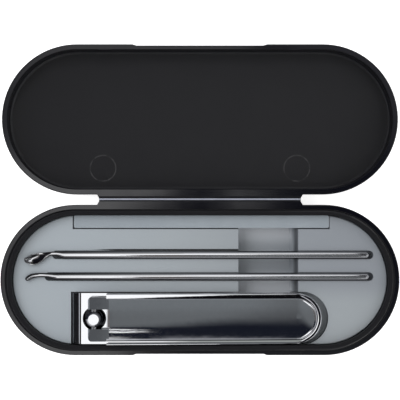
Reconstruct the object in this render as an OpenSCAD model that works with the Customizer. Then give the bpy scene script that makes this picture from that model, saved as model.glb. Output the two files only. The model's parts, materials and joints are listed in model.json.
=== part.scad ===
// Pocket manicure set: a stadium-shaped plastic case, opened flat, with its tools in a moulded tray.
// X runs along the hinge, the base lies at -Y, the open lid at +Y, and Z is up from the table.

/* [Case] */
// Overall length of the case
case_l = 128.5; // [120:0.1:150]
// Width of one half, from its back to its front
case_w = 48.4; // [46:0.1:56]
// Height of each half at its rim
shell_h = 9; // [8.6:0.1:12]
// Thickness of the floor of each half
floor_t = 1.2; // [0.8:0.1:1.6]
// Thickness of the lid's wall
lid_wall = 1.6; // [1.2:0.1:2]
// How much shorter the lid is than the base at each end
lid_inset = 0.5; // [0:0.1:0.6]
// Radius of the outer edge at the floor
edge_r = 2.4; // [1:0.1:3.5]
// Radius of the outer edge at the rim
rim_r = 0.3; // [0.1:0.05:0.5]
// Radius between the lid's wall and its floor, inside
lid_cove_r = 1; // [0.5:0.1:2]
// Gap between the two backs when the case lies open
back_gap = 3.3; // [3:0.1:4]
// Gap between the rims when the case is closed
parting_gap = 0.2; // [0.1:0.05:0.4]
// Thickness of the tongue that fits inside the closed lid
tongue_w = 1.55; // [1.2:0.05:2]
// Height of the tongue above the base's rim
tongue_h = 1.5; // [1.4:0.1:2]
// Clearance between the tongue and the lid's wall
tongue_fit = 0.15; // [0.1:0.05:0.25]
// Radius of the tongue's top edges
tongue_r = 0.35; // [0.1:0.05:0.5]

/* [Thumb scallops and snaps] */
// Length of the thumb scallop in each front
scallop_l = 41; // [30:1:50]
// Depth of the thumb scallop
scallop_depth = 0.45; // [0.2:0.05:0.7]
// Length over which a scallop's end slopes in
scallop_slope = 1.2; // [0.5:0.1:4]
// Height of the scallop's lower edge above the table
scallop_from = 3.6; // [3:0.1:5]
// Distance of each snap from the middle of the case
snap_x = 30.5; // [26:0.5:36]
// Length of a snap bead
snap_l = 4; // [3:0.1:6]
// Radius of a snap bead
snap_r = 0.4; // [0.3:0.05:0.5]
// How far a bead stands out of the lid's wall
snap_reach = 0.3; // [0.2:0.05:0.35]
// Depth of the release notch in the base's rim under each bead
snap_notch_h = 0.5; // [0.3:0.1:0.8]

/* [Hinge] */
// Length of the hinge along the backs of the two halves
hinge_l = 66.2; // [50:0.2:74]
// How much each end of the hinge narrows towards the web
hinge_taper = 0.65; // [0.2:0.05:1]
// Thickness of the flange that carries the web on each half
flange_t = 1.2; // [0.9:0.1:1.6]
// Width of the thin web that bends
web_w = 1.1; // [0.9:0.05:1.2]
// Height of the web's crown above its edges
web_crown = 0.2; // [0.1:0.02:0.24]
// Radial clearance between the web and the lid's flange
web_play = 0.05; // [0.03:0.01:0.1]

/* [Tray] */
// Height of the tray's top above the table
tray_top = 7.6; // [7.2:0.1:8.2]
// Thickness of the tray's top plate
tray_plate = 1; // [0.8:0.1:1.4]
// Thickness of the tray's skirt, pocket walls and pocket floors
tray_wall = 0.8; // [0.6:0.1:1]
// Gap between the tray and the base's wall
tray_gap = 0.1; // [0.05:0.05:0.3]
// Radius of the tray's top edge
tray_edge_r = 0.4; // [0.2:0.1:0.6]
// Left end of the finger recess, from the middle of the case
recess_x = 12.4; // [8:0.2:16]
// Length of the finger recess at the tray's top
recess_l = 19.4; // [16:0.2:20]
// Length of the sloped right wall of the finger recess
recess_slope = 2.6; // [1:0.1:4]
// Clearance around the clipper in its nest
nest_gap = 0.3; // [0.2:0.05:0.6]
// Extra room beyond the round end of the clipper
nest_end_gap = 2.1; // [0.5:0.1:3]
// Length of the raised rest under the clipper's rear end
nest_rest_l = 6.9; // [4:0.1:8]

/* [Nail file] */
// Length of the nail file
file_l = 82.3; // [70:0.1:84]
// Width of the nail file
file_w = 4; // [3:0.1:5]
// Thickness of the nail file
file_t = 1; // [0.6:0.1:1.2]
// Offset of the file's middle from the middle of the case
file_x = 0.5; // [0:0.1:2]
// Radius of the file's corners
file_corner_r = 0.6; // [0.3:0.1:1]
// Gap along the file's free edge and ends
file_gap = 0.4; // [0.2:0.05:0.6]
// How far the file lies below the tray's top
file_sunk = 0.1; // [0.05:0.05:0.3]

/* [Picks] */
// Diameter of both picks
pick_d = 2.6; // [2:0.1:2.8]
// Length of the full round shaft of the scoop pick
pick_shaft_l = 98.8; // [90:0.1:100]
// How much longer the hook pick's shaft is
hook_shaft_more = 2.4; // [0:0.1:3]
// Right end of both picks, from the middle of the case
pick_right_x = 54.8; // [52:0.1:55.5]
// Distance of the scoop pick's axis in from the back edge of the clipper
scoop_in = 12.2; // [11:0.05:13]
// Distance between the axes of the two picks
pick_pitch = 7; // [6.8:0.05:7.2]
// Radial clearance of a pick in its groove
pick_gap = 0.1; // [0.05:0.05:0.15]
// Height of the picks' axes above the tray's top
pick_lift = 0.15; // [0:0.05:0.4]
// Diameter of the thin neck behind each pick's working end
neck_d = 1.1; // [0.9:0.1:1.4]
// Length of the scoop pick's bent end, from its round shaft to its tip
scoop_l = 12.3; // [11:0.1:13]
// Width of the scoop's bowl
bowl_w = 2.8; // [2.4:0.1:3.2]
// Length of the hook pick's bent end, from its round shaft to its tip
hook_l = 9.8; // [8:0.1:11]
// Diameter of the hook's tip
hook_tip_d = 1.1; // [0.9:0.1:1.3]

/* [Clipper jaws] */
// Length of the nail clipper, from its edge to the end of its lever
clipper_l = 80.6; // [76:0.1:81]
// Width of the nail clipper
clipper_w = 16.4; // [15.6:0.1:16.6]
// Thickness of the jaw strips
jaw_t = 1.6; // [1.2:0.1:1.8]
// Gap between the jaws at the post
jaw_gap = 3.4; // [3:0.1:3.8]
// Gap between the two cutting edges
mouth_gap = 2; // [1.5:0.1:2.4]
// Length of the down-turned nose of a jaw
nose_l = 2.7; // [2:0.1:3]
// Distance of the post's axis behind the cutting edge
post_x = 7.4; // [7.2:0.1:8.4]
// Distance of the heel, where the jaws part, behind the cutting edge
heel_x = 61.3; // [56:0.1:63]
// Distance of the rear rivets behind the front of the heel
rivet_back = 2.3; // [2.3:0.1:4]
// Distance of each rear rivet from the clipper's middle line
rivet_y = 4.2; // [3:0.1:5]
// Shank diameter of the rear rivets
rivet_d = 2.2; // [1.8:0.1:2.6]
// Head diameter of the rear rivets
rivet_head_d = 3.4; // [3:0.1:4]
// Thickness of a rivet's head
rivet_head_t = 0.5; // [0.3:0.1:0.6]
// Play between the upper jaw and the rivets' heads, so that the jaw can tip
rivet_play = 0.16; // [0.15:0.01:0.25]
// Diameter of the clearance hole round the post in the upper jaw
upper_hole_d = 7.5; // [6.4:0.1:8]
// How far the ends of the cutting edges stand ahead of their middle
edge_sag = 0.28; // [0.1:0.01:0.6]

/* [Clipper post and lever] */
// Diameter of the post's shaft
post_d = 3.2; // [2.8:0.1:3.6]
// Radial clearance of the post in the lower jaw
post_play = 0.06; // [0.03:0.01:0.1]
// Diameter of the foot under the lower jaw
post_foot_d = 6; // [5:0.1:7]
// Thickness of the foot under the lower jaw
post_foot_t = 0.7; // [0.5:0.05:0.9]
// Diameter of the post's head
post_head_d = 5; // [4.6:0.1:5.8]
// Diameter of the flat top of the post's head
post_top_d = 3.4; // [2.6:0.1:3.6]
// Diameter of the collar round the post inside the upper jaw's hole
post_collar_d = 5.8; // [5:0.1:6]
// Height of the cross pin's axis above the upper jaw
pin_rise = 2.1; // [2.05:0.05:2.6]
// Diameter of the cross pin
cross_pin_d = 1.6; // [1.4:0.1:1.8]
// Radial clearance of the cross pin in the lever
cross_pin_play = 0.05; // [0.03:0.01:0.1]
// Radius of the fork's ears round the cross pin
ear_r = 1.9; // [1.7:0.05:2]
// Width of the slot between the fork's arms
fork_slot_w = 6.3; // [6.2:0.1:6.8]
// Distance of the fork arms' outer faces from each other
fork_w = 14.2; // [14:0.1:15.6]
// Distance of the front of the lever's pan behind the post's axis
pan_x = 4; // [3.4:0.1:4.6]
// Distance of the closed end of the slot behind the post's axis
slot_x = 5.1; // [4.8:0.1:5.6]
// Thickness of the lever's sheet
lever_t = 1; // [0.8:0.1:1.2]
// Width of the lever's raised rim
lever_rim_w = 1.96; // [1.6:0.02:2.2]
// Height of the rim's inner edge above the underside of the lever
lever_rim_h = 1.7; // [1.5:0.05:1.9]
// How much lower the rim's outer edge is than its inner edge
lever_rim_fall = 0.45; // [0.2:0.05:0.5]
// Depth of the hollow across the lever's pan
lever_dish = 0.25; // [0.1:0.05:0.35]
// Downward tilt of the stored lever
lever_tilt = 2.6; // [2.2:0.1:2.6]

/* [Hidden] */

$fn = 96;
// How far a cut runs past the surface that it opens
over = 1;
// How far one body of a union runs into the next
root = 0.3;
// Clearance of a pin that is pressed into its hole
press = 0.01;

half_w = case_w / 2;
base_straight = case_l / 2 - half_w;
lid_straight = base_straight - lid_inset;
back_y = back_gap / 2;
mid_y = back_y + half_w;
front_y = back_y + case_w;
hinge_z = shell_h + parting_gap / 2;
web_r = web_w / 2;
web_l = hinge_l - 2 * hinge_taper;
// Half the gap between the two flanges under the web
flange_reach = 0.25;

lid_cavity_r = half_w - lid_wall;
tongue_out_r = lid_cavity_r - tongue_fit;
cavity_r = tongue_out_r - tongue_w;
tongue_top = shell_h + tongue_h;
groove_w = 0.25;
groove_d = 0.35;
mark_x = 31.7;
mark_y = 10.3;
mark_d = 8.4;
mark_depth = 0.12;

// The bead sits this far below the lid's rim, so that it lands in the tongue's socket
snap_drop = 0.45;
snap_z = shell_h - snap_drop;
socket_z = 2 * hinge_z - snap_z;
socket_r = snap_r + 0.12;

tray_r = cavity_r - tray_gap;
nest_floor_z = floor_t + tray_wall;
recess_floor_l = recess_l - recess_slope;

file_back_gap = 0.15;
file_mid_y = -mid_y + cavity_r - file_back_gap - file_w / 2;
file_z = tray_top - file_sunk - file_t;

jaw_out = jaw_gap / 2 + jaw_t;
parting_z = nest_floor_z + post_foot_t + jaw_out;
clipper_half_w = clipper_w / 2;
clipper_x = -clipper_l / 2 - 1;
clipper_y = -mid_y - cavity_r + nest_gap + 0.05 + clipper_half_w;
jaw_l = clipper_l - 0.6;
bow_x = post_x + upper_hole_d / 2 + 1;
rivet_x = heel_x + rivet_back;
edge_z = mouth_gap / 2;
edge_curve_r = (clipper_half_w * clipper_half_w + edge_sag * edge_sag) / (2 * edge_sag);
nest_rest_z = parting_z - jaw_t;
nest_left_x = clipper_x - nest_gap;
nest_right_x = clipper_x + clipper_l + nest_end_gap;
nest_r = clipper_half_w + nest_gap;
nest_back_y = clipper_y + nest_r;
pin_z = jaw_out + pin_rise;
pan_z = 0.2;
ear_top_z = pan_z + lever_t;
fork_corner_r = 1.2;
slot_corner_r = 0.6;
pan_half_w = clipper_half_w - lever_rim_w;
dish_r = (pan_half_w * pan_half_w + lever_dish * lever_dish) / (2 * lever_dish);
lever_end_x = clipper_l - post_x - clipper_half_w;

pick_r = pick_d / 2;
neck_r = neck_d / 2;
bowl_r = bowl_w / 2;
hook_tip_r = hook_tip_d / 2;
pick_z = tray_top + pick_lift;
pick_groove_r = pick_r + pick_gap;
pick_left_x = pick_right_x - pick_shaft_l;
hook_left_x = pick_left_x - hook_shaft_more;
groove_left_gap = 3.7;
groove_right_x = pick_right_x + 1.2;
scoop_y = clipper_y + clipper_half_w + scoop_in;
hook_y = scoop_y - pick_pitch;

// Points of an outline whose corners [x, y, radius] are rounded, each in this many steps
corner_steps = 8;
function unit(v) = v / norm(v);
function arc_at(c, r, a, sweep) =
  [for (i = [0:corner_steps]) c + r * [cos(a + sweep * i / corner_steps), sin(a + sweep * i / corner_steps)]];
function shortest(a) = a > 180 ? a - 360 : a < -180 ? a + 360 : a;
function corner(p, b, n, r) =
  let (u = unit(p - b), v = unit(n - b), half = acos(u * v) / 2, c = b + unit(u + v) * r / sin(half))
  let (s = b + u * r / tan(half) - c, e = b + v * r / tan(half) - c)
  arc_at(c, r, atan2(s.y, s.x), shortest(atan2(e.y, e.x) - atan2(s.y, s.x)));
function flat(p) = [p.x, p.y];
function rounded(pts) = let (n = len(pts)) [
  for (i = [0:n - 1])
    each pts[i].z > 0
      ? corner(flat(pts[(i + n - 1) % n]), flat(pts[i]), flat(pts[(i + 1) % n]), pts[i].z)
      : [flat(pts[i])]
];

// A rectangle with semicircle ends, along X
module stadium(straight, r) {
  translate([-straight, -r]) square([2 * straight, 2 * r]);
  for (side = [-1, 1]) translate([side * straight, 0]) circle(r);
}

// A half profile (distance from the middle line, height) carried round a stadium
module stadium_sweep(straight) {
  for (side = [-1, 1])
    translate([side * straight, 0, 0]) rotate(-side * 90) rotate_extrude(angle = 180) children();
  translate([-straight, 0, 0]) rotate([90, 0, 90]) linear_extrude(2 * straight) {
    children();
    mirror([1, 0]) children();
  }
}

// Half section of a slab with rounded lower and upper outer edges
module slab_profile(r, h, low_r, top_r) {
  square([r - low_r, h - top_r]);
  translate([0, low_r]) square([r - top_r, h - low_r]);
  translate([0, low_r]) square([r, h - low_r - top_r]);
  translate([r - low_r, low_r]) circle(low_r);
  translate([r - top_r, h - top_r]) circle(top_r);
}

module tongue_profile() {
  below = root;
  translate([cavity_r, shell_h - below]) square([tongue_w, tongue_h + below - tongue_r]);
  translate([cavity_r + tongue_r, shell_h]) square([tongue_w - 2 * tongue_r, tongue_h]);
  for (x = [cavity_r + tongue_r, tongue_out_r - tongue_r])
    translate([x, tongue_top - tongue_r]) circle(tongue_r);
}

// Cut for the thumb, drawn on the +Y front
module thumb_scallop() {
  outer = front_y + over;
  inner = front_y - scallop_depth;
  end_x = scallop_l / 2;
  translate([0, 0, scallop_from]) linear_extrude(shell_h)
    polygon([
      [-end_x - scallop_slope, outer], [-end_x - scallop_slope, front_y], [-end_x, inner],
      [end_x, inner], [end_x + scallop_slope, front_y], [end_x + scallop_slope, outer]
    ]);
}

// A rod along X with its middle at the given Y and Z
module rod_x(x0, x1, y, z, r) {
  translate([x0, y, z]) rotate([0, 90, 0]) cylinder(r = r, h = x1 - x0);
}

// The flange on the lid's back, level with the rim, whose edge is hollow round the hinge axis
module hinge_flange(play) {
  end_x = hinge_l / 2;
  narrow_x = web_l / 2;
  inner = back_y + root;
  difference() {
    translate([0, 0, shell_h - flange_t]) linear_extrude(flange_t) polygon([
      [-narrow_x, flange_reach], [narrow_x, flange_reach], [narrow_x, web_r], [end_x, back_y],
      [end_x, inner], [-end_x, inner], [-end_x, back_y], [-narrow_x, web_r]
    ]);
    rod_x(-end_x, end_x, 0, hinge_z, web_r + play);
  }
}

module base_shell() {
  inner_y = -mid_y - tongue_out_r;
  color("#26262b") difference() {
    union() {
      translate([0, -mid_y, 0]) {
        difference() {
          stadium_sweep(base_straight) slab_profile(half_w, shell_h, edge_r, rim_r);
          translate([0, 0, floor_t]) linear_extrude(shell_h) stadium(lid_straight, cavity_r);
          translate([0, 0, shell_h - groove_d]) linear_extrude(over) difference() {
            stadium(lid_straight, tongue_out_r + groove_w);
            stadium(lid_straight, tongue_out_r);
          }
        }
        stadium_sweep(lid_straight) tongue_profile();
      }
      mirror([0, 1, 0]) hinge_flange(0);
    }
    mirror([0, 1, 0]) thumb_scallop();
    for (side = [-1, 1]) translate([side * snap_x - snap_l / 2, 0, 0]) {
      translate([0, -front_y - over, shell_h - snap_notch_h])
        cube([snap_l, over + inner_y + front_y, snap_notch_h + over]);
      rod_x(-root, snap_l + root, inner_y - snap_r + snap_reach, socket_z, socket_r);
    }
  }
}

module lid_shell() {
  inner_y = mid_y + lid_cavity_r;
  color("#242429") difference() {
    union() {
      translate([0, mid_y, 0]) difference() {
        stadium_sweep(lid_straight) slab_profile(half_w, shell_h, edge_r, rim_r);
        translate([0, 0, floor_t]) stadium_sweep(lid_straight)
          slab_profile(lid_cavity_r, shell_h, lid_cove_r, rim_r);
      }
      for (side = [-1, 1]) {
        x = side * snap_x - snap_l / 2;
        rod_x(x, x + snap_l, inner_y + snap_r - snap_reach, snap_z, snap_r);
      }
      hinge_flange(web_play);
    }
    thumb_scallop();
    for (side = [-1, 1])
      translate([side * mark_x, mark_y, floor_t - mark_depth]) cylinder(d = mark_d, h = over);
  }
}

// The web that bends: round below about the hinge axis, gently crowned above and level with the rims
module hinge_web() {
  crown_half_w = 0.87 * web_r;
  crown_r = (crown_half_w * crown_half_w + web_crown * web_crown) / (2 * web_crown);
  color("#4a4c55") intersection() {
    rod_x(-web_l / 2, web_l / 2, 0, hinge_z, web_r);
    rod_x(-web_l / 2, web_l / 2, 0, shell_h - crown_r, crown_r);
  }
}

// Each pocket can be drawn larger by g on every side, to give the walls and floor round it
module file_pocket(g) {
  left = file_x - file_l / 2 - file_gap - g;
  right = file_x + file_l / 2 + file_gap / 2 + g;
  front = file_mid_y - file_w / 2 - file_gap - g;
  translate([left, front, file_z - g]) cube([right - left, file_w + 2 * over + 2 * g, 3 * over + g]);
}

// A straight channel with round ends for one pick
module pick_groove(left_x, y, g) {
  r = pick_groove_r + g;
  left = left_x - groove_left_gap - g;
  l = groove_right_x + g - left;
  translate([left, y, pick_z]) rotate([0, 90, 0]) rotate_extrude() intersection() {
    union() {
      translate([0, r]) square([r, l - 2 * r]);
      for (end = [r, l - r]) translate([0, end]) circle(r);
    }
    square([r, l]);
  }
}

module finger_recess(g) {
  low = nest_floor_z - g - (g > 0 ? over : 0);
  high = tray_top + over;
  back = file_mid_y + 1 + g;
  right = recess_x + recess_floor_l + g;
  translate([0, back, 0]) rotate([90, 0, 0]) linear_extrude(back - clipper_y)
    polygon([
      [recess_x - g, low], [right, low], [right, nest_floor_z],
      [right + recess_slope, tray_top], [right + recess_slope, high], [recess_x - g, high]
    ]);
}

module nest_plan(g) {
  r = nest_r + g;
  arc_x = nest_right_x + g - r;
  front = clipper_y - nest_r - 2 * over;
  translate([nest_left_x - g, front]) square([arc_x - nest_left_x + g, nest_back_y + g - front]);
  translate([arc_x, clipper_y]) circle(r);
}

module clipper_nest(g) {
  rest_x = clipper_x + jaw_l - nest_rest_l;
  low = nest_floor_z - g - (g > 0 ? over : 0);
  translate([0, 0, nest_rest_z - g]) linear_extrude(tray_top) nest_plan(g);
  translate([0, 0, low]) linear_extrude(nest_rest_z - low) intersection() {
    nest_plan(g);
    translate([-case_l, -case_w - case_l]) square([case_l + rest_x + g, case_l + case_w]);
  }
}

module pockets(g) {
  clipper_nest(g);
  finger_recess(g);
  file_pocket(g);
  pick_groove(pick_left_x, scoop_y, g);
  pick_groove(hook_left_x, hook_y, g);
}

module tray_insert() {
  color("#9aa0a8") difference() {
    translate([0, -mid_y, floor_t]) stadium_sweep(lid_straight)
      slab_profile(tray_r, tray_top - floor_t, tray_edge_r, tray_edge_r);
    difference() {
      translate([0, -mid_y, floor_t - over])
        linear_extrude(tray_top - tray_plate - floor_t + over) stadium(lid_straight, tray_r - tray_wall);
      pockets(tray_wall);
    }
    pockets(0);
  }
}

// The clipper's own frame: X from the cutting edge to the rear, Z from the plane between the jaws
module in_clipper() {
  translate([clipper_x, clipper_y, parting_z]) children();
}

module jaw_plan() {
  difference() {
    union() {
      translate([0, -clipper_half_w]) square([jaw_l - clipper_half_w, clipper_w]);
      translate([jaw_l - clipper_half_w, 0]) circle(clipper_half_w);
    }
    translate([edge_sag - edge_curve_r, 0]) circle(edge_curve_r, $fn = 400);
  }
}

// The upper jaw's bent strip, seen from the side: a sharp nose, a bow over the post and a flat heel
module jaw_blank() {
  bevel_z = edge_z + 0.05;
  inner_nose_x = nose_l + 1.2;
  nose_r = 1.2;
  bow_r = 60;
  heel_r = 30;
  outline = [
    [0, edge_z, 0], [nose_l, jaw_out, nose_r], [bow_x, jaw_out, bow_r], [heel_x, jaw_t, heel_r],
    [jaw_l + over, jaw_t, 0], [jaw_l + over, 0, 0], [heel_x, 0, heel_r], [bow_x, jaw_gap / 2, bow_r],
    [inner_nose_x, jaw_gap / 2, nose_r], [nose_l / 2, bevel_z, 0]
  ];
  intersection() {
    translate([0, clipper_w, 0]) rotate([90, 0, 0]) linear_extrude(2 * clipper_w) polygon(rounded(outline));
    translate([0, 0, -over]) linear_extrude(jaw_out + 2 * over) jaw_plan();
  }
}

module rivet_holes(d) {
  for (side = [-1, 1]) translate([rivet_x, side * rivet_y, -over]) cylinder(d = d, h = jaw_t + 2 * over);
}

module clipper_upper_jaw() {
  color("#d8dade") in_clipper() difference() {
    jaw_blank();
    translate([post_x, 0, 0]) cylinder(d = upper_hole_d, h = jaw_out + over);
    rivet_holes(rivet_d + 0.2);
  }
}

module clipper_lower_jaw() {
  color("#cfd1d5") in_clipper() mirror([0, 0, 1]) difference() {
    jaw_blank();
    translate([post_x, 0, 0]) cylinder(d = post_d + 2 * post_play, h = jaw_out + over);
    rivet_holes(rivet_d + 2 * press);
  }
}

module clipper_rear_rivets() {
  low = -jaw_t - rivet_head_t;
  high = jaw_t + rivet_play;
  color("#c4c6ca") in_clipper() for (side = [-1, 1]) translate([rivet_x, side * rivet_y, 0]) {
    translate([0, 0, low]) cylinder(d = rivet_d, h = high + rivet_head_t - low);
    translate([0, 0, low]) cylinder(d = rivet_head_d, h = rivet_head_t);
    translate([0, 0, high]) cylinder(d = rivet_head_d, h = rivet_head_t);
  }
}

// Half section of the post: foot, shaft, collar, and a head with a sloping shoulder and a flat top
module post_profile() {
  foot_z = -jaw_out - post_foot_t;
  collar_r = post_collar_d / 2;
  collar_t = 0.9;
  collar_z = jaw_out - collar_t - 0.1;
  collar_edge_r = 0.3;
  head_z = pin_z + cross_pin_d / 2 + 0.15;
  head_r = post_head_d / 2;
  head_t = 0.7;
  top_r = post_top_d / 2;
  shoulder_h = 0.75;
  translate([0, foot_z]) square([post_foot_d / 2, post_foot_t]);
  translate([0, foot_z]) square([post_d / 2, head_z - foot_z + head_t / 2]);
  translate([0, collar_z]) square([collar_r, collar_t - collar_edge_r]);
  translate([0, collar_z]) square([collar_r - collar_edge_r, collar_t]);
  translate([collar_r - collar_edge_r, collar_z + collar_t - collar_edge_r]) circle(collar_edge_r);
  translate([0, head_z]) polygon([
    [0, 0], [head_r, 0], [head_r, head_t], [top_r, head_t + shoulder_h], [0, head_t + shoulder_h]
  ]);
}

module clipper_post() {
  color("#dcdee2") in_clipper() translate([post_x, 0, 0]) difference() {
    rotate_extrude() post_profile();
    translate([0, post_d, pin_z]) rotate([90, 0, 0]) cylinder(d = cross_pin_d + 2 * press, h = 2 * post_d);
  }
}

module lever_cross_pin() {
  color("#a8abb0") in_clipper() translate([post_x, fork_w / 2, pin_z]) rotate([90, 0, 0])
    cylinder(d = cross_pin_d, h = fork_w);
}

// Half section of the lever's pan: a dished sheet with a raised rim that slopes outwards
module pan_profile() {
  out_x = clipper_half_w;
  foot_r = 0.45;
  outer_r = 0.5;
  inner_r = 0.35;
  difference() {
    polygon(rounded([
      [0, 0, 0], [out_x, 0, foot_r], [out_x, lever_rim_h - lever_rim_fall, outer_r],
      [pan_half_w, lever_rim_h, inner_r], [pan_half_w, lever_t, 0], [0, lever_t, 0]
    ]));
    intersection() {
      translate([0, lever_t - lever_dish + dish_r]) circle(dish_r, $fn = 600);
      square([pan_half_w, 2 * lever_t]);
    }
  }
}

module lever_pan() {
  translate([pan_x, 0, pan_z]) rotate([90, 0, 90]) linear_extrude(lever_end_x - pan_x) {
    pan_profile();
    mirror([1, 0]) pan_profile();
  }
  translate([lever_end_x, 0, pan_z]) rotate(-90) rotate_extrude(angle = 180) pan_profile();
}

// Both ears of the fork in one piece: round about the cross pin, with a flat top and rounded front corners
module fork_ears() {
  back = pan_x + 0.8;
  ear_low = 0.7;
  half = fork_w / 2;
  intersection() {
    translate([0, half, 0]) rotate([90, 0, 0]) linear_extrude(fork_w) intersection() {
      union() {
        circle(ear_r);
        translate([0, -ear_low]) square([back, ear_low + ear_top_z]);
      }
      translate([-ear_r, -ear_r]) square([ear_r + back, ear_r + ear_top_z]);
    }
    translate([0, 0, -ear_r - over]) linear_extrude(2 * (ear_r + over)) polygon(rounded([
      [-ear_r, -half, fork_corner_r], [back, -half, 0], [back, half, 0], [-ear_r, half, fork_corner_r]
    ]));
  }
}

// The open slot between the ears, with rounded corners at its closed end
module fork_slot() {
  half = fork_slot_w / 2;
  front = -ear_r - over;
  translate([0, 0, -ear_r - over]) linear_extrude(2 * (ear_r + over)) polygon(rounded([
    [front, -half, 0], [slot_x, -half, slot_corner_r], [slot_x, half, slot_corner_r], [front, half, 0]
  ]));
}

module clipper_lever() {
  color("#8d9096") in_clipper() translate([post_x, 0, pin_z]) rotate([0, lever_tilt, 0]) difference() {
    union() {
      lever_pan();
      fork_ears();
    }
    fork_slot();
    translate([0, clipper_w, 0]) rotate([90, 0, 0])
      cylinder(d = cross_pin_d + 2 * cross_pin_play, h = 2 * clipper_w);
  }
}

// A pick's straight shaft, drawn from its left end, with its right end domed
module pick_shaft(l) {
  rotate([0, 90, 0]) rotate_extrude() intersection() {
    union() {
      square([pick_r, l - pick_r]);
      translate([0, l - pick_r]) circle(pick_r);
    }
    square([pick_r, l]);
  }
}

// The ball inside the left end of a shaft, from which the neck tapers
pick_heel = pick_r * [0.96, 0, 0, 0.968];

// A ball at a place given from the left end of a pick's shaft
module ball(at, r) {
  translate(at) sphere(r, $fn = 24);
}

// A smooth bar between two balls [x, y, z, radius]
module bar(a, b) {
  hull() {
    ball([a.x, a.y, a.z], a[3]);
    ball([b.x, b.y, b.z], b[3]);
  }
}

module scoop_pick() {
  tip_x = bowl_r - scoop_l;
  neck = [0.29 * tip_x, 0.32 * pick_r, 0.44 * pick_r, neck_r];
  throat = [0.5 * tip_x, 0.16 * pick_r, 0.64 * pick_r, 0.9 * neck_r];
  bowl_root = [0.65 * tip_x, -0.4 * pick_r, pick_r, 0.8 * bowl_r];
  bowl_tip = [tip_x, -1.25 * pick_r, 1.32 * pick_r, bowl_r];
  hollow_lift = bowl_r * [0.07, 0.21, 0.54, -0.21];
  color("#c9ccd1") translate([pick_left_x, scoop_y, pick_z]) {
    pick_shaft(pick_shaft_l);
    difference() {
      union() {
        bar(pick_heel, neck);
        bar(neck, throat);
        bar(throat, bowl_root);
        bar(bowl_root, bowl_tip);
      }
      bar(bowl_root + hollow_lift, bowl_tip + hollow_lift);
    }
  }
}

module hook_pick() {
  tip_x = hook_tip_r - hook_l;
  neck = [0.39 * tip_x, 0.24 * pick_r, 0.48 * pick_r, neck_r];
  bend = [0.73 * tip_x, 0.38 * pick_r, 0.64 * pick_r, 0.95 * neck_r];
  tip = [tip_x, -0.77 * pick_r, 0.88 * pick_r, hook_tip_r];
  color("#c9ccd1") translate([hook_left_x, hook_y, pick_z]) {
    pick_shaft(pick_shaft_l + hook_shaft_more);
    bar(pick_heel, neck);
    bar(neck, bend);
    bar(bend, tip);
  }
}

module nail_file() {
  w = file_w - 2 * file_corner_r;
  l = file_l - 2 * file_corner_r;
  color("#8f959e") translate([file_x, file_mid_y, file_z]) linear_extrude(file_t) {
    square([file_l, w], center = true);
    square([l, file_w], center = true);
    for (x = [-l / 2, l / 2], y = [-w / 2, w / 2]) translate([x, y]) circle(file_corner_r);
  }
}

base_shell();
lid_shell();
hinge_web();
tray_insert();
clipper_lower_jaw();
clipper_upper_jaw();
clipper_rear_rivets();
clipper_post();
lever_cross_pin();
clipper_lever();
scoop_pick();
hook_pick();
nail_file();
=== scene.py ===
"""Looks for the pocket manicure set: finishes, softened edges and polished picks around the CAD frame."""

import json
import math

import bmesh
import bpy
from mathutils import Matrix, Vector


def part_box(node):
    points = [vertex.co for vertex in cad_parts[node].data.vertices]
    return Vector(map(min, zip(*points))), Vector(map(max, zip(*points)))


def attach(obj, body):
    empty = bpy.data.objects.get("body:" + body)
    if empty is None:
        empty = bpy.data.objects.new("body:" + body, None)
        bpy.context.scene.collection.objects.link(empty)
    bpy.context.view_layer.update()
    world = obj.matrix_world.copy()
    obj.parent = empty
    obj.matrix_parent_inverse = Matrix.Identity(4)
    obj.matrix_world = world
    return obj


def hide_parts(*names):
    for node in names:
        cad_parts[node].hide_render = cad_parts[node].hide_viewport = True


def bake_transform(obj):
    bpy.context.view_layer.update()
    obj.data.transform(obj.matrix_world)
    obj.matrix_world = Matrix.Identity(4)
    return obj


MM = 0.001

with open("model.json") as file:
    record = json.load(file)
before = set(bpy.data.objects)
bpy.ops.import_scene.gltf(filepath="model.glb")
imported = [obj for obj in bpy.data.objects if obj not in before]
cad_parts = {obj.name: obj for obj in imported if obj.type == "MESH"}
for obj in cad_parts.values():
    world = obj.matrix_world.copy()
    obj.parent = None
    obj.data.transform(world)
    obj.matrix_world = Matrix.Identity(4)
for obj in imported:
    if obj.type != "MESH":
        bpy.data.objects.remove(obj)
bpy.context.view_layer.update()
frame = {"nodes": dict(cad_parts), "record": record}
nodes = frame["nodes"]


# Camera: the photograph is 400 pixels square and taken from straight above the hinge

PHOTO_PX = 400
PX_SIZE = 0.3216 * MM
HINGE_PX = (199.9, 199.7)
RIM_Z = 9 * MM
CAMERA_UP = 450 * MM

camera_data = bpy.data.cameras.new("camera")
camera_data.sensor_width = 36
camera_data.lens = camera_data.sensor_width * CAMERA_UP / (PHOTO_PX * PX_SIZE)
camera_data.clip_start, camera_data.clip_end = 10 * MM, 10
camera = bpy.data.objects.new("camera", camera_data)
camera.location = (
    (PHOTO_PX / 2 - HINGE_PX[0]) * PX_SIZE,
    (HINGE_PX[1] - PHOTO_PX / 2) * PX_SIZE,
    RIM_Z + CAMERA_UP,
)
bpy.context.scene.collection.objects.link(camera)
bpy.context.scene.camera = camera
bpy.context.scene.view_settings.view_transform = "Standard"


# Node helpers


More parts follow.
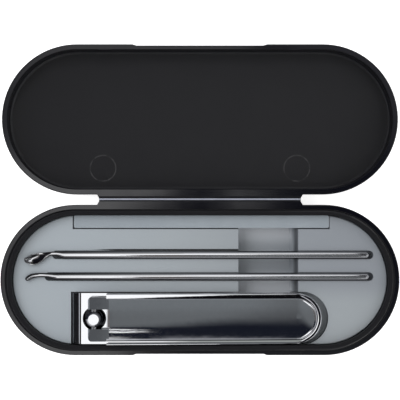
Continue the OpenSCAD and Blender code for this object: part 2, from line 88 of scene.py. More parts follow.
class Tree:
    """A node tree with short calls to add and link its nodes."""

    def __init__(self, owner):
        owner.use_nodes = True
        self.nodes, self.links = owner.node_tree.nodes, owner.node_tree.links
        self.nodes.clear()

    def add(self, kind, **settings):
        """Adds a node. A setting with an underscore before its name is an input, any other a property."""
        node = self.nodes.new(kind)
        for name, value in settings.items():
            if not name.startswith("_"):
                setattr(node, name, value)
        for name, value in settings.items():
            if name.startswith("_"):
                self.set(node, name[1:].replace("_", " "), value)
        return node

    def set(self, node, name, value):
        socket = node.inputs[int(name)] if name.isdigit() else node.inputs[name]
        if isinstance(value, bpy.types.NodeSocket):
            self.links.new(value, socket)
        else:
            socket.default_value = value

    def math(self, operation, a, b=0.0, clamp=False):
        return self.add("ShaderNodeMath", operation=operation, use_clamp=clamp, _0=a, _1=b).outputs[0]

    def plus(self, a, b):
        return self.math("ADD", a, b)

    def minus(self, a, b):
        return self.math("SUBTRACT", a, b)

    def times(self, product, *others):
        for other in others:
            product = self.math("MULTIPLY", product, other)
        return product

    def larger(self, a, b):
        return self.math("MAXIMUM", a, b)

    def gap(self, a, b):
        """How far apart two values are."""
        return self.math("ABSOLUTE", self.minus(a, b))

    def distance(self, x, y):
        return self.math("SQRT", self.plus(self.math("POWER", x, 2.0), self.math("POWER", y, 2.0)))

    def remap(self, value, from_min, from_max, to_min, to_max, smooth=False):
        kind = "SMOOTHSTEP" if smooth else "LINEAR"
        return self.add(
            "ShaderNodeMapRange", interpolation_type=kind, _Value=value, _From_Min=from_min,
            _From_Max=from_max, _To_Min=to_min, _To_Max=to_max,
        ).outputs["Result"]

    def rise(self, value, begins, ends, amount=1.0):
        """Goes softly from 0, where the value begins, to the amount, where it ends."""
        return self.remap(value, begins, ends, 0, amount, smooth=True)

    def place(self):
        """The shaded point in the frame, in metres."""
        return self.add("ShaderNodeTexCoord").outputs["Object"]

    def split(self, vector):
        """The x, y and z of a vector."""
        return self.add("ShaderNodeSeparateXYZ", _0=vector).outputs

    def noise(self, vector, size, detail=2.0, roughness=0.5):
        """Noise whose features have this size, in metres."""
        return self.add(
            "ShaderNodeTexNoise", _Vector=vector, _Scale=1 / size, _Detail=detail, _Roughness=roughness
        ).outputs["Fac"]

    def drawn_noise(self, vector, size, share):
        """Noise that is drawn out along X, where it changes by this share of what it does across."""
        drawn = self.add("ShaderNodeMapping", _Vector=vector, _Scale=(share, 1, 1)).outputs[0]
        return self.noise(drawn, size, 3)

    def blend(self, factor, a, b):
        """Mixes two colours: a where the factor is 0 and b where it is 1."""
        node = self.add("ShaderNodeMix", data_type="RGBA")
        self.set(node, "0", factor)
        for index, value in ((6, a), (7, b)):
            self.set(node, str(index), value if isinstance(value, bpy.types.NodeSocket) else (*value, 1))
        return node.outputs[2]


def srgb(*levels):
    """Linear colour from the 0 to 255 levels that a picture shows."""
    shares = (level / 255 for level in levels)
    return tuple(x / 12.92 if x <= 0.04045 else ((x + 0.055) / 1.055) ** 2.4 for x in shares)


def material(name, **inputs):
    """A new material with one Principled shader, whose constant inputs are set here."""
    mat = bpy.data.materials.new(name)
    tree = Tree(mat)
    shader = tree.add("ShaderNodeBsdfPrincipled")
    for key, value in inputs.items():
        shader.inputs[key.replace("_", " ")].default_value = value
    out = tree.add("ShaderNodeOutputMaterial")
    tree.links.new(shader.outputs[0], out.inputs[0])
    return mat, tree, shader


def bump(tree, shader, height, depth):
    node = tree.add("ShaderNodeBump", _Height=height, _Distance=depth, _Strength=1.0)
    tree.links.new(node.outputs[0], shader.inputs["Normal"])


# Mirrored studio: what polished metal reflects. u and v say how far a direction leans to +X and +Y, so
# both are 0 straight up. Three numbers are a colour, and two are where a soft edge begins and where it
# ends. A window has two such edges in u and two in v. A ring has a radius and half its width.

PANEL, PANEL_RIGHT, PANEL_BAND = (0.172, 0.185, 0.196), (0.128, 0.135, 0.142), (0.3, 0.31, 0.32)
PANEL_HIGH, PANEL_HIGH_RIGHT = (0.14, 0.149, 0.157), (0.086, 0.09, 0.096)
PANEL_HIGH_LEFT = (0.09, 0.095, 0.102)
BROWN, BEYOND = (0.15, 0.14, 0.138), (0.012, 0.012, 0.015)
NAVY, CEILING_FAR = (0.0095, 0.0115, 0.019), (0.004, 0.004, 0.005)
CEILING_GREY, CEILING_PALE = (0.13, 0.125, 0.12), (0.24, 0.24, 0.26)
PALE_WINDOW = ((0.05, 0.075), (0.24, 0.18)), ((0.03, 0.05), (0.16, 0.12))
BORDER_V, BORDER_DRIFT = -0.07, 0.04
SOFTBOX, SOFTBOX_RIGHT = (1.2, 1.2, 1.21), -0.055
SLIT_V, SLIT_HALF = (-0.002, 0.012), (0.0055, 0.002)
REAR_LOW, REAR_HIGH = (0.45, 0.45, 0.47), (1.1, 1.1, 1.12)
REAR_WINDOW = ((-0.03, 0.0), (0.2, 0.15)), ((0.49, 0.53), (2.6, 1.8))
STRIP, STRIP_RIGHT, STRIP_LOW = (1.0, 1.0, 1.0), (0.4, 0.42, 0.4), (0.14, 0.145, 0.15)
STRIP_WINDOW = ((-0.01, 0.01), (0.26, 0.2)), ((-0.5, -0.54), (-0.82, -0.76))
RINGS_MIDDLE, RINGS = (0.17, -0.08), ((0.28, 0.06), (0.55, 0.07), (1.05, 0.12))
RING_GAPS, RING_BACK, RING_FRONT = (0.006, 0.006, 0.008), (0.5, 0.5, 0.53), (1.2, 1.2, 1.22)
LEFT_WALL = (0.008, 0.008, 0.011)
SIDES_X, SIDES_Y = (0.72, 0.73, 0.76), (0.4, 0.41, 0.43)
HORIZON, HORIZON_LEFT = (0.26, 0.27, 0.29), (0.09, 0.097, 0.125)


def window(tree, u, v, edges_u, edges_v):
    """1 inside a soft window of the mirrored studio and 0 outside."""
    shares = [tree.rise(v, *edge) for edge in edges_v] + [tree.rise(u, *edge) for edge in edges_u]
    return tree.times(*shares)


def sky_panel(tree, u, v):
    """Grey panel ahead with a light band low down, brown on its left and dark below it."""
    high = tree.blend(tree.rise(u, 0.018, 0.03), PANEL_HIGH_LEFT, PANEL_HIGH)
    high = tree.blend(tree.rise(u, 0.09, 0.16), high, PANEL_HIGH_RIGHT)
    panel = tree.blend(tree.rise(u, 0.12, 0.17), PANEL, PANEL_RIGHT)
    panel = tree.blend(tree.rise(v, -0.21, -0.085), panel, high)
    panel = tree.blend(tree.rise(v, -0.222, -0.24), panel, PANEL_BAND)
    beyond = tree.blend(tree.rise(u, -0.012, 0.012), BROWN, BEYOND)
    panel = tree.blend(tree.rise(v, -0.27, -0.29), panel, beyond)
    return tree.blend(tree.rise(u, 0.0, -0.02), panel, beyond)


def sky_ceiling(tree, u, v):
    """Navy ceiling that turns black further back, grey at the back on the left, with one pale window."""
    ceiling = tree.blend(tree.rise(v, 0.05, 0.2), NAVY, CEILING_FAR)
    grey = tree.times(tree.rise(v, 0.3, 0.6), tree.rise(u, 0.02, -0.02))
    ceiling = tree.blend(grey, ceiling, CEILING_GREY)
    return tree.blend(window(tree, u, v, *PALE_WINDOW), ceiling, CEILING_PALE)


def sky_border(tree, u, v):
    """0 over the panel and 1 over the ceiling, with a cloudy border that is wider on the right."""
    flat = tree.add("ShaderNodeCombineXYZ", _0=u, _1=v, _2=0.0).outputs[0]
    drift = tree.minus(tree.noise(flat, 0.11, 3), 0.5)
    border = tree.plus(tree.times(drift, BORDER_DRIFT), tree.rise(u, 0.12, 0.05, 0.035))
    behind = tree.minus(v, tree.plus(border, BORDER_V))
    half_width = tree.plus(tree.rise(u, 0.03, 0.1, 0.025), 0.018)
    return tree.rise(tree.math("DIVIDE", behind, half_width), -1.0, 1.0)


def sky_softbox(tree, u, v):
    """Softbox: low on its left, with a dim fold, and its right edge leans outwards as it goes back."""
    edge = tree.plus(tree.rise(v, 0.03, 0.045, 0.055), tree.rise(v, 0.2, 0.6, 0.1))
    edge = tree.plus(edge, tree.rise(v, -0.012, 0.008, 0.035))
    inside = tree.minus(tree.plus(edge, SOFTBOX_RIGHT), u)
    softbox = tree.times(tree.rise(inside, -0.012, 0.008), tree.rise(v, 0.8, 0.6))
    fold = tree.times(tree.rise(v, 0.02, 0.04), tree.rise(v, 0.14, 0.12))
    softbox = tree.times(softbox, tree.minus(1.0, tree.times(fold, 0.6)))
    low_edge = tree.rise(tree.plus(v, tree.rise(u, -0.02, -0.045, 0.5)), -0.2, -0.12)
    softbox = tree.times(softbox, low_edge, tree.rise(u, -0.16, -0.12))
    # Two thin slits shine on its right
    for middle in SLIT_V:
        slit = tree.times(tree.rise(tree.gap(v, middle), *SLIT_HALF), tree.rise(u, 0.06, 0.036))
        softbox = tree.larger(softbox, tree.times(slit, tree.rise(u, 0.012, 0.022)))
    return softbox


def with_rear_wall(tree, sky, u, v):
    """Adds a light wall behind, seen in the picks."""
    wall = tree.blend(tree.rise(v, 0.8, 0.7), REAR_LOW, REAR_HIGH)
    return tree.blend(window(tree, u, v, *REAR_WINDOW), sky, wall)


def with_low_strip(tree, sky, u, v):
    """Adds a strip low down ahead: white in the middle, grey to its right and dim at its lower edge."""
    strip = tree.blend(tree.rise(u, 0.06, 0.1), STRIP, STRIP_RIGHT)
    strip = tree.blend(tree.rise(v, -0.6, -0.65), strip, STRIP_LOW)
    return tree.blend(window(tree, u, v, *STRIP_WINDOW), sky, strip)


def with_rings(tree, sky, u, v):
    """Adds bright rings on black at the far right, for the lever's round end."""
    away = tree.distance(tree.minus(u, RINGS_MIDDLE[0]), tree.minus(v, RINGS_MIDDLE[1]))
    black = tree.times(tree.rise(away, 0.12, 0.16), tree.rise(u, 0.19, 0.23))
    sky = tree.blend(black, sky, RING_GAPS)
    bright = tree.blend(tree.rise(v, 0.15, -0.25), RING_BACK, RING_FRONT)
    for radius, half in RINGS:
        ring = tree.rise(tree.gap(away, radius), half, half * 0.6)
        sky = tree.blend(tree.times(ring, tree.rise(u, 0.2, 0.26)), sky, bright)
    return sky


def with_low_sides(tree, sky, u, v):
    """Adds a light studio low down all round, lighter to the left and right than ahead and behind."""
    out = tree.distance(u, v)
    turned = tree.math("ABSOLUTE", tree.math("DIVIDE", v, tree.larger(out, 0.01)))
    sides = tree.blend(tree.rise(turned, 0.2, 0.75), SIDES_X, SIDES_Y)
    return tree.blend(tree.rise(out, 1.25, 1.8), sky, sides)


def mirrored_sky(tree):
    """Colour of the mirrored studio."""
    x, y, z = tree.split(tree.add("ShaderNodeTexCoord").outputs["Generated"])
    up = tree.larger(z, 0.05)
    u, v = tree.math("DIVIDE", x, up), tree.math("DIVIDE", y, up)
    sky = tree.blend(sky_border(tree, u, v), sky_panel(tree, u, v), sky_ceiling(tree, u, v))
    sky = tree.blend(sky_softbox(tree, u, v), sky, SOFTBOX)
    for part in (with_rear_wall, with_low_strip, with_rings):
        sky = part(tree, sky, u, v)
    sky = tree.blend(tree.rise(u, -0.2, -0.32), sky, LEFT_WALL)
    sky = with_low_sides(tree, sky, u, v)
    horizon = tree.blend(tree.rise(u, -1.5, -4.0), HORIZON, HORIZON_LEFT)
    return tree.blend(tree.rise(z, 0.24, 0.14), sky, horizon)


# Studio: white surroundings, a pale floor and soft light from the left

WHITE = (1, 1, 1, 1)
WORLD_LEVEL = 0.8
FLOOR_HALF, FLOOR_Z = 1.5, -0.02 * MM
FLOOR_GLOW = 0.8


def studio_world():
    """Plain white for the camera, the mirrored studio for glossy rays and soft light for all others."""
    world = bpy.data.worlds.new("studio")
    bpy.context.scene.world = world
    tree = Tree(world)
    path = tree.add("ShaderNodeLightPath").outputs
    lit = tree.add("ShaderNodeBackground", _Color=WHITE, _Strength=WORLD_LEVEL).outputs[0]
    mirrored = tree.add("ShaderNodeBackground", _Color=mirrored_sky(tree), _Strength=1.0).outputs[0]
    white = tree.add("ShaderNodeBackground", _Color=WHITE, _Strength=1.0).outputs[0]
    first = tree.add("ShaderNodeMixShader", _0=path["Is Glossy Ray"], _1=lit, _2=mirrored).outputs[0]
    seen = tree.larger(path["Is Camera Ray"], path["Is Transmission Ray"])
    second = tree.add("ShaderNodeMixShader", _0=seen, _1=first, _2=white).outputs[0]
    out = tree.add("ShaderNodeOutputWorld")
    tree.links.new(second, out.inputs[0])


def soft_lamp(name, place, size, level):
    """An area lamp aimed at the case, whose light on a surface facing it is this share of white."""
    far = Vector(place).length
    data = bpy.data.lights.new(name, "AREA")
    data.shape, data.size = "SQUARE", size
    data.energy = level * math.pi**2 * far**2
    lamp = bpy.data.objects.new(name, data)
    lamp.location = place
    lamp.rotation_euler = (-Vector(place)).to_track_quat("-Z", "Y").to_euler()
    lamp.visible_glossy = False
    lamp.visible_camera = False
    bpy.context.scene.collection.objects.link(lamp)


def pale_floor():
    """A floor that takes shadows and looks white to the camera, to mirrors and through glass."""
    mesh = bpy.data.meshes.new("floor")
    corners = [(x * FLOOR_HALF, y * FLOOR_HALF, FLOOR_Z) for x, y in ((-1, -1), (1, -1), (1, 1), (-1, 1))]
    mesh.from_pydata(corners, [], [(0, 1, 2, 3)])
    floor = bpy.data.objects.new("floor", mesh)
    bpy.context.scene.collection.objects.link(floor)
    mat, tree, shader = material("floor_white", Base_Color=(0.92, 0.92, 0.92, 1), Roughness=0.6)
    path = tree.add("ShaderNodeLightPath").outputs
    seen = tree.larger(path["Is Camera Ray"], path["Is Glossy Ray"])
    seen = tree.larger(seen, path["Is Transmission Ray"])
    shader.inputs["Emission Color"].default_value = WHITE
    tree.set(shader, "Emission Strength", tree.times(seen, FLOOR_GLOW))
    mesh.materials.append(mat)


studio_world()
soft_lamp("key_left", (-0.27, 0.12, 0.36), size=0.3, level=0.42)
soft_lamp("fill_right", (0.4, -0.3, 0.6), size=0.5, level=0.1)
pale_floor()


# Case plastic

EJECTOR_X, EJECTOR_Y, EJECTOR_R = 31.7 * MM, 10.3 * MM, 4.2 * MM
LID_FLOOR_FROM, LID_FLOOR_TO = (0.6 * MM, 0.8 * MM), (2 * MM, 2.5 * MM)
BASE_MIDDLE_Y, BASE_STRAIGHT = -25.85 * MM, 40.05 * MM
TONGUE_R, SATIN_R = 22.15 * MM, 22.7 * MM
RAISED_Z = (8 * MM, 8.4 * MM)
SCORE_Y, SCORE_W, SCORE_DEPTH = 0.5 * MM, 0.6 * MM, 0.2 * MM
FLANGE_Z = (8.8 * MM, 8.9 * MM)


def ejector_marks(tree, at):
    """Where the faint, broken rings of the mould's ejectors lie in the lid's floor, painted lighter as a
    highlight on their edges.
    """
    x, y, z = tree.split(at)
    away = tree.distance(tree.minus(tree.math("ABSOLUTE", x), EJECTOR_X), tree.minus(y, EJECTOR_Y))
    ring = tree.remap(tree.gap(away, EJECTOR_R), 0.1 * MM, 0.24 * MM, 1, 0)
    broken = tree.remap(tree.noise(at, 1.6 * MM), 0.4, 0.6, 0.15, 0.8)
    inside = tree.remap(z, *LID_FLOOR_FROM, 0, 1)
    return tree.times(ring, broken, tree.remap(z, *LID_FLOOR_TO, 1, 0), inside)


def case_satin(tree, at):
    """How satin the case is: most inside the base's rim groove, and a little inside both halves."""
    x, y, z = tree.split(at)
    ahead = tree.larger(tree.minus(tree.math("ABSOLUTE", x), BASE_STRAIGHT), 0.0)
    from_middle = tree.distance(ahead, tree.minus(y, BASE_MIDDLE_Y))
    satin = tree.remap(from_middle, SATIN_R, SATIN_R + 0.1 * MM, 0.85, 0)
    # The tongue's edge shines towards the right
    edge = tree.remap(tree.gap(from_middle, TONGUE_R), 0, 0.3 * MM, 1, 0)
    edge = tree.times(edge, tree.remap(x, 20 * MM, 45 * MM, 0, 1))
    satin = tree.times(satin, tree.minus(1.0, edge), tree.remap(z, *RAISED_Z, 0, 1))
    return tree.larger(satin, tree.remap(z, 2 * MM, RAISED_Z[1], 0.42, 0))


def hinge_score(tree, at):
    """How far the lid's flange falls away beside the hinge web, as a share of the score's depth."""
    _, y, z = tree.split(at)
    score = tree.times(tree.remap(y, SCORE_Y, SCORE_Y + SCORE_W, 1, 0), tree.remap(y, 0, 0.1 * MM, 0, 1))
    return tree.times(score, tree.remap(z, *FLANGE_Z, 0, 1))


def case_plastic():
    """Black plastic: grained inside the halves, satin on the tongue, glossy on the rims and outside."""
    mat, tree, shader = material("case_plastic_black", Specular_IOR_Level=0.85)
    at = tree.place()
    grain = tree.noise(at, 0.45 * MM, 3, 0.6)
    colour = tree.blend(grain, (0.0018, 0.0018, 0.0036), (0.0042, 0.0042, 0.0066))
    # The ejector rings are painted lighter: a painted highlight on their edges
    tree.set(shader, "Base Color", tree.blend(ejector_marks(tree, at), colour, (0.05, 0.05, 0.052)))
    satin = case_satin(tree, at)
    smooth = tree.remap(tree.noise(at, 9 * MM, 3), 0.3, 0.7, 0.06, 0.1)
    tree.set(shader, "Roughness", tree.plus(smooth, satin))
    grained = tree.times(grain, tree.plus(tree.times(satin, 0.1), 0.003))
    bump(tree, shader, tree.minus(grained, hinge_score(tree, at)), SCORE_DEPTH)
    return mat


def web_plastic(name, dark, pale):
    """The hinge web: the same plastic in a dark and a pale shade. The pale one is whitened and smoother
    where it has been bent, and is also a painted highlight on the web's crest.
    """
    mat, tree, shader = material(name, Specular_IOR_Level=0.5)
    streak = tree.drawn_noise(tree.place(), 0.4 * MM, 0.12)
    tree.set(shader, "Base Color", tree.blend(streak, dark, pale))
    tree.set(shader, "Roughness", tree.remap(streak, 0.3, 0.7, 0.24, 0.4))
    bump(tree, shader, streak, 0.004 * MM)
    return mat


# Tray plastic

SHADOW_LINE_X, SHADOW_LINE_Y, SHADOW_LINE_W = (-38 * MM, 12.4 * MM), -16.15 * MM, 0.6 * MM
RECESS_MIDDLE_Y, RECESS_Z = -19 * MM, (4 * MM, 3 * MM)


def pick_slot(tree, at):
    """Where a painted shadow runs as a dark line along the back of the scoop pick's groove, ever wider, up
    to the recess.
    """
    x, y, z = tree.split(at)
    half = tree.rise(x, SHADOW_LINE_X[0], SHADOW_LINE_X[0] + 12 * MM, SHADOW_LINE_W / 2)
    # slot is the mask of the painted shadow line
    slot = tree.remap(tree.minus(half, tree.gap(y, SHADOW_LINE_Y)), 0, 0.1 * MM, 0, 1)
    slot = tree.times(slot, tree.remap(x, SHADOW_LINE_X[1], SHADOW_LINE_X[1] + 0.3 * MM, 1, 0))
    return tree.times(slot, tree.remap(z, 7 * MM, 7.4 * MM, 0, 1))


def tray_plastic():
    """Blue-grey satin plastic with a faint cloud and grain, painted lighter on the left and dimmer at the
    back on the right.
    """
    mat, tree, shader = material("tray_plastic_grey", Specular_IOR_Level=0.5)
    at = tree.place()
    x, y, z = tree.split(at)
    grain = tree.noise(at, 0.35 * MM, 3, 0.6)
    cloud = tree.noise(at, 14 * MM, 2)
    # Painted sheen: the colour is lighter on the left, towards the key light
    base = tree.blend(tree.rise(x, -50 * MM, 20 * MM), srgb(156, 164, 171), srgb(148, 154, 159))
    base = tree.blend(tree.times(cloud, 0.5), base, srgb(161, 167, 170))
    # Painted shade: the colour is dimmer at the back on the right
    dim = tree.times(tree.rise(x, -10 * MM, 40 * MM, 0.9), tree.rise(y, -34 * MM, -26 * MM))
    base = tree.blend(dim, base, srgb(135, 140, 147))
    base = tree.blend(tree.times(grain, 0.12), base, srgb(120, 126, 132))
    # Painted shadow: a dark line beside the scoop pick's groove
    base = tree.blend(pick_slot(tree, at), base, (0.012, 0.012, 0.014))
    # Painted light and shade: the recess is painted paler towards its two ends, and the walls of the pockets
    # are painted darker than the tops, where shade falls
    ends = tree.rise(tree.gap(y, RECESS_MIDDLE_Y), 3 * MM, 10 * MM, 0.8)
    base = tree.blend(tree.times(ends, tree.remap(z, *RECESS_Z, 0, 1)), base, srgb(200, 204, 210))
    wall = tree.times(tree.remap(z, 7.0 * MM, 7.5 * MM, 0.8, 0), tree.remap(z, 4 * MM, 5.5 * MM, 0, 1))
    tree.set(shader, "Base Color", tree.blend(wall, base, srgb(40, 42, 47)))
    tree.set(shader, "Roughness", tree.remap(cloud, 0.3, 0.7, 0.34, 0.42))
    bump(tree, shader, grain, 0.005 * MM)
    return mat


# Metals

CHROME_DARK, CHROME_LIGHT = (0.76, 0.775, 0.80), (0.84, 0.85, 0.87)
WAVE_DEPTH = 0.008 * MM
BEAD_DEPTH = 0.09 * MM
FORK_END = (-30.2 * MM, -29.2 * MM)
POST, POST_WELL_R = (-33.9 * MM, -38.2 * MM), 3.9 * MM
POST_TOP_Z = (13 * MM, 13.4 * MM)
ROD_DARK_X = (-46 * MM, -15 * MM)
FLANK_TO_TOP = (0.62, 0.93)


def rim_bead(tree, at):
    """A rounded bead, one unit high, along the lever's rim round its free end."""
    low, high = (Vector(corner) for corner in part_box("clipper_lever"))
    outer = (high.y - low.y) / 2
    x, y, _ = tree.split(at)
    ahead = tree.larger(tree.minus(x, high.x - outer), 0.0)
    away = tree.distance(ahead, tree.minus(y, (low.y + high.y) / 2))
    half = tree.remap(ahead, 0, 4 * MM, 0.9 * MM, 1.2 * MM, True)
    off = tree.math("DIVIDE", tree.minus(tree.plus(away, half), outer), half)
    bead = tree.math("SUBTRACT", 1.0, tree.times(off, off), clamp=True)
    bead = tree.times(bead, tree.remap(x, *FORK_END, 0, 1))
    return tree.times(bead, tree.remap(ahead, 0, 3 * MM, 0.45, 1.1, True))


def well_shade(tree, at, colour):
    """Painted shade: darkens the lower jaw where it shows in the upper jaw's hole, round the post."""
    x, y, _ = tree.split(at)
    away = tree.distance(tree.minus(x, POST[0]), tree.minus(y, POST[1]))
    well = tree.remap(away, POST_WELL_R - 0.1 * MM, POST_WELL_R + 0.1 * MM, 1, 0)
    return tree.blend(well, colour, (0.02, 0.02, 0.022))


def flanks(tree, front, back):
    """How far up a surface faces, and the painted shade of its flanks, for the dark they mirror: one in
    front and another behind.
    """
    _, turned, facing = tree.split(tree.add("ShaderNodeNewGeometry").outputs["Normal"])
    return facing, tree.blend(tree.remap(turned, -0.2, 0.2, 0, 1), front, back)


def post_shade(tree, at, colour):
    """Painted shade and reflection: darkens the post's flanks and all that lies below its flat head."""
    facing, flank = flanks(tree, (0.03, 0.03, 0.035), (0.10, 0.10, 0.11))
    facing = tree.times(facing, tree.remap(tree.split(at)[2], *POST_TOP_Z, 0, 1))
    return tree.blend(tree.rise(facing, *FLANK_TO_TOP), flank, colour)


def rod_shade(tree, at, colour):
    """Painted shade and reflection: darkens the flanks of the picks, most of all towards their bent ends on
    the left.
    """
    facing, flank = flanks(tree, (0.08, 0.07, 0.075), (0.24, 0.24, 0.25))
    left = tree.remap(tree.split(at)[0], *ROD_DARK_X, 0.9, 0)
    flank = tree.blend(left, flank, (0.0, 0.0, 0.0))
    facing = tree.minus(facing, tree.times(left, 0.15))
    return tree.blend(tree.rise(facing, *FLANK_TO_TOP), flank, colour)


def chrome(name, rough=(0.02, 0.06), worn=0.0, shade=None, shape=None):
    """Polished plate with a faint haze, which can be worn on the right, given painted shade in places or
    bumped.
    """
    mat, tree, shader = material(name, Metallic=1.0)
    at = tree.place()
    haze = tree.noise(at, 1.5 * MM, 4, 0.7)
    colour = tree.blend(haze, CHROME_DARK, CHROME_LIGHT)
    tree.set(shader, "Base Color", shade(tree, at, colour) if shade else colour)
    dull = tree.remap(haze, 0.3, 0.8, *rough)
    if worn:
        speck = tree.remap(tree.noise(at, 0.5 * MM, 3, 0.7), 0.35, 0.65, 0.5, 1)
        dull = tree.plus(dull, tree.times(tree.rise(tree.split(at)[0], -2 * MM, 10 * MM, worn), speck))
    tree.set(shader, "Roughness", dull)
    height = tree.times(tree.noise(at, 6 * MM, 2), WAVE_DEPTH / BEAD_DEPTH)
    if shape:
        height = tree.plus(height, shape(tree, at))
    bump(tree, shader, height, BEAD_DEPTH)
    return mat


def drawn_steel():
    """Wire with fine lines along it."""
    mat, tree, shader = material("steel_wire", Metallic=1.0)
    line = tree.drawn_noise(tree.place(), 0.15 * MM, 0.05)
    tree.set(shader, "Base Color", tree.blend(line, (0.5, 0.51, 0.53), (0.62, 0.63, 0.65)))
    tree.set(shader, "Roughness", tree.remap(line, 0.3, 0.7, 0.2, 0.34))
    bump(tree, shader, line, 0.004 * MM)
    return mat


def file_steel():
    """Satin steel with two crossed rows of fine cuts."""
    mat, tree, shader = material("file_steel_cut", Metallic=0.35, Specular_IOR_Level=0.6)
    at = tree.place()
    cuts = []
    for angle in (-35, 35):
        turned = tree.add("ShaderNodeMapping", _Vector=at, _Rotation=(0, 0, math.radians(angle)))
        wave = tree.add(
            "ShaderNodeTexWave", bands_direction="X", wave_profile="TRI",
            _Vector=turned.outputs[0], _Scale=0.36 / MM,
        )
        cuts.append(wave.outputs["Fac"])
    haze = tree.noise(at, 5 * MM, 3)
    tree.set(shader, "Base Color", tree.blend(haze, srgb(158, 167, 175), srgb(172, 181, 188)))
    tree.set(shader, "Roughness", tree.remap(haze, 0.3, 0.7, 0.38, 0.5))
    bump(tree, shader, tree.larger(*cuts), 0.01 * MM)
    return mat


# Finish of each slot, and of the pieces that differ from their slot's

finishes = {
    "case_plastic": case_plastic(),
    "web_plastic": web_plastic("web_plastic_dark", (0.005, 0.005, 0.006), (0.012, 0.012, 0.015)),
    "tray_plastic": tray_plastic(),
    "tool_chrome": chrome("chrome_plate"),
    "pin_steel": drawn_steel(),
    "file_steel": file_steel(),
}
own_finishes = {
    "clipper_lever": chrome("chrome_lever", shape=rim_bead),
    "clipper_post": chrome("chrome_post", shade=post_shade),
    "clipper_lower_jaw": chrome("chrome_lower_jaw", shade=well_shade),
}
# Pale web plastic: whitened by bending, and lighter also as a painted highlight on the crest
web_pale = web_plastic("web_plastic_whitened_highlit", srgb(130, 134, 148), srgb(166, 170, 184))
pick_chrome = chrome("chrome_rod", rough=(0.03, 0.07), worn=0.05, shade=rod_shade)

for row in frame["record"]["subparts"]:
    finish = own_finishes.get(row["node"], finishes[row["material_slot"]])
    nodes[row["node"]].material_slots[0].material = finish


# Softened edges on the CAD solids

SOFT_WIDTH, SOFT_ANGLE = 0.09 * MM, math.radians(35)


def soften(name):
    """Rounds the sharp edges of a CAD node, whose points are joined first."""
    node = nodes[name]
    weld = node.modifiers.new("weld", "WELD")
    weld.merge_threshold = 0.0005 * MM
    bevel = node.modifiers.new("soft_edges", "BEVEL")
    bevel.width, bevel.segments = SOFT_WIDTH, 2
    bevel.limit_method, bevel.angle_limit = "ANGLE", SOFT_ANGLE
    bevel.harden_normals = True


soften("clipper_upper_jaw")
soften("clipper_lower_jaw")


# Pieces with a mesh of their own


def mesh_piece(name, verts, faces):
    """A smooth object in the scene, with its faces turned outwards."""
    mesh = bpy.data.meshes.new(name)
    mesh.from_pydata([tuple(v) for v in verts], [], faces)
    bm = bmesh.new()
    bm.from_mesh(mesh)
    bmesh.ops.recalc_face_normals(bm, faces=bm.faces)
    bm.to_mesh(mesh)
    bm.free()
    mesh.polygons.foreach_set("use_smooth", [True] * len(mesh.polygons))
    piece = bpy.data.objects.new(name, mesh)
    bpy.context.scene.collection.objects.link(piece)
    return piece


def tube_faces(count, rings):
    """Faces of a closed tube, whose points come ring by ring with this many in each."""
    faces = []
    for low in range(0, (rings - 1) * count, count):
        for k in range(count):
            a, b = low + k, low + (k + 1) % count
            faces.append((a, b, b + count, a + count))
    return faces + [tuple(reversed(range(count))), tuple(range((rings - 1) * count, rings * count))]


# Picks: polished rods, each swept along its own curve with a smooth, round section

PICK_R = 1.3 * MM
RING = 40
BENT_STEPS, SHAFT_STEPS, DOME_STEPS = 5, 24, 10
DOME_PART = 0.985
HOLLOW_DEPTH = 1.8


def curve_through(rows, steps):
    """Rows joined by a smooth Catmull-Rom curve that passes through each of them."""
    path = []
    for i in range(len(rows) - 1):
        a, b, c, d = (rows[min(max(i + k, 0), len(rows) - 1)] for k in (-1, 0, 1, 2))
        for s in range(steps):
            t = s / steps
            path.append([
                q + t * ((r - p) / 2 + t * (p - 2.5 * q + 2 * r - w / 2 + t * (1.5 * (q - r) + (w - p) / 2)))
                for p, q, r, w in zip(a, b, c, d)
            ])
    return path + [list(rows[-1])]


def swept_rod(name, rows):
    """A closed rod through rows of x, y, z, half width, half height and how far its top is hollowed."""
    verts = []
    for i, (x, y, z, half_w, half_h, hollow) in enumerate(rows):
        ahead, back = rows[min(i + 1, len(rows) - 1)], rows[max(i - 1, 0)]
        along = Vector((ahead[0] - back[0], ahead[1] - back[1], 0)).normalized()
        side = Vector((-along.y, along.x, 0))
        for k in range(RING):
            a = 2 * math.pi * k / RING
            lift = half_h * math.sin(a) * (1 - HOLLOW_DEPTH * hollow * max(math.sin(a), 0))
            verts.append(Vector((x, y, z)) + side * (half_w * math.cos(a)) + Vector((0, 0, lift)))
    return mesh_piece(name, verts, tube_faces(RING, len(rows)))


def pick(node, body, bent_l, bent_rows):
    """One pick. The rows of its bent end are in millimetres from the left end of its round shaft."""
    low, high = (Vector(corner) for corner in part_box(node))
    start = Vector((low.x + bent_l, high.y - PICK_R, low.z + PICK_R))
    rows = [[*(MM * value for value in row[:5]), row[5]] for row in curve_through(bent_rows, BENT_STEPS)]
    shaft_start, shaft_end = rows[-1][0], high.x - start.x - PICK_R
    for i in range(1, SHAFT_STEPS + 1):
        rows.append([shaft_start + (shaft_end - shaft_start) * i / SHAFT_STEPS, 0, 0, PICK_R, PICK_R, 0])
    for i in range(1, DOME_STEPS + 1):
        a = math.pi / 2 * i / DOME_STEPS * DOME_PART
        r = PICK_R * math.cos(a)
        rows.append([shaft_end + PICK_R * math.sin(a), 0, 0, r, r, 0])
    piece = swept_rod(node + "_polished", rows)
    piece.data.transform(Matrix.Translation(start))
    piece.data.materials.append(pick_chrome)
    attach(piece, body)
    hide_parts(node)


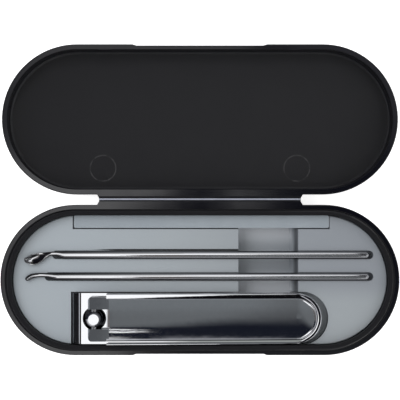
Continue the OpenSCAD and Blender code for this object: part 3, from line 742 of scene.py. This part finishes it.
pick("scoop_pick", "scoop", 12.3 * MM, [
    (-12.5, -1.26, 1.20, 0.12, 0.12, 0.8),
    (-12.25, -1.30, 1.20, 0.56, 0.38, 0.8),
    (-11.5, -1.56, 1.16, 1.18, 0.76, 0.8),
    (-9.8, -1.48, 1.10, 1.76, 0.98, 0.76),
    (-7.6, -0.80, 1.02, 1.54, 0.78, 0.65),
    (-6.5, -0.32, 0.96, 1.18, 0.58, 0.42),
    (-5.5, 0.02, 0.90, 0.90, 0.50, 0.2),
    (-4.2, 0.38, 0.85, 0.66, 0.48, 0),
    (-2.8, 0.44, 0.72, 0.68, 0.60, 0),
    (-1.7, 0.31, 0.45, 0.85, 0.86, 0),
    (-0.6, 0.08, 0.12, 1.16, 1.18, 0),
    (0.4, 0.0, 0.0, 1.3, 1.3, 0),
])
pick("hook_pick", "hook", 9.8 * MM, [
    (-9.72, -1.02, 0.92, 0.12, 0.12, 0),
    (-9.62, -0.95, 0.92, 0.44, 0.34, 0),
    (-9.15, -0.64, 0.84, 0.72, 0.52, 0),
    (-8.2, -0.04, 0.76, 0.82, 0.60, 0),
    (-7.0, 0.35, 0.74, 0.78, 0.60, 0),
    (-5.1, 0.55, 0.74, 0.69, 0.60, 0),
    (-3.2, 0.47, 0.62, 0.71, 0.70, 0),
    (-1.8, 0.30, 0.38, 0.87, 0.93, 0),
    (-0.8, 0.14, 0.17, 1.08, 1.13, 0),
    (0.2, 0.0, 0.02, 1.28, 1.28, 0),
    (1.0, 0.0, 0.0, 1.3, 1.3, 0),
])


# Hinge web: a thin strip between the two flanges. Its top runs through y, z in millimetres

WEB_TOP = [
    (-0.56, 8.93), (-0.46, 8.80), (-0.28, 8.83), (-0.08, 8.95), (0.12, 9.0),
    (0.22, 9.0), (0.40, 8.95), (0.5, 8.83), (0.55, 8.80), (0.62, 8.93),
]
WEB_THICK = 0.26 * MM
WEB_STEPS = 60
WEB_PALE_Y = (-0.1 * MM, 0.4 * MM)


def hinge_web():
    low, high = (Vector(corner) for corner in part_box("hinge_web"))
    top = [(y * MM, z * MM) for y, z in WEB_TOP]
    loop = top + [(y, z - WEB_THICK) for y, z in reversed(top)]
    places = [low.x + (high.x - low.x) * i / WEB_STEPS for i in range(WEB_STEPS + 1)]
    verts = [(x, y, z) for x in places for y, z in loop]
    web = mesh_piece("hinge_web_bending", verts, tube_faces(len(loop), len(places)))
    web.data.materials.append(finishes["web_plastic"])
    web.data.materials.append(web_pale)
    # The top faces along the middle take the pale shade: whitening from bending, and a painted highlight on
    # the crest
    for face in web.data.polygons:
        face.material_index = int(WEB_PALE_Y[0] < face.center.y < WEB_PALE_Y[1] and face.normal.z > 0.5)
    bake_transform(web)
    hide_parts("hinge_web")


hinge_web()
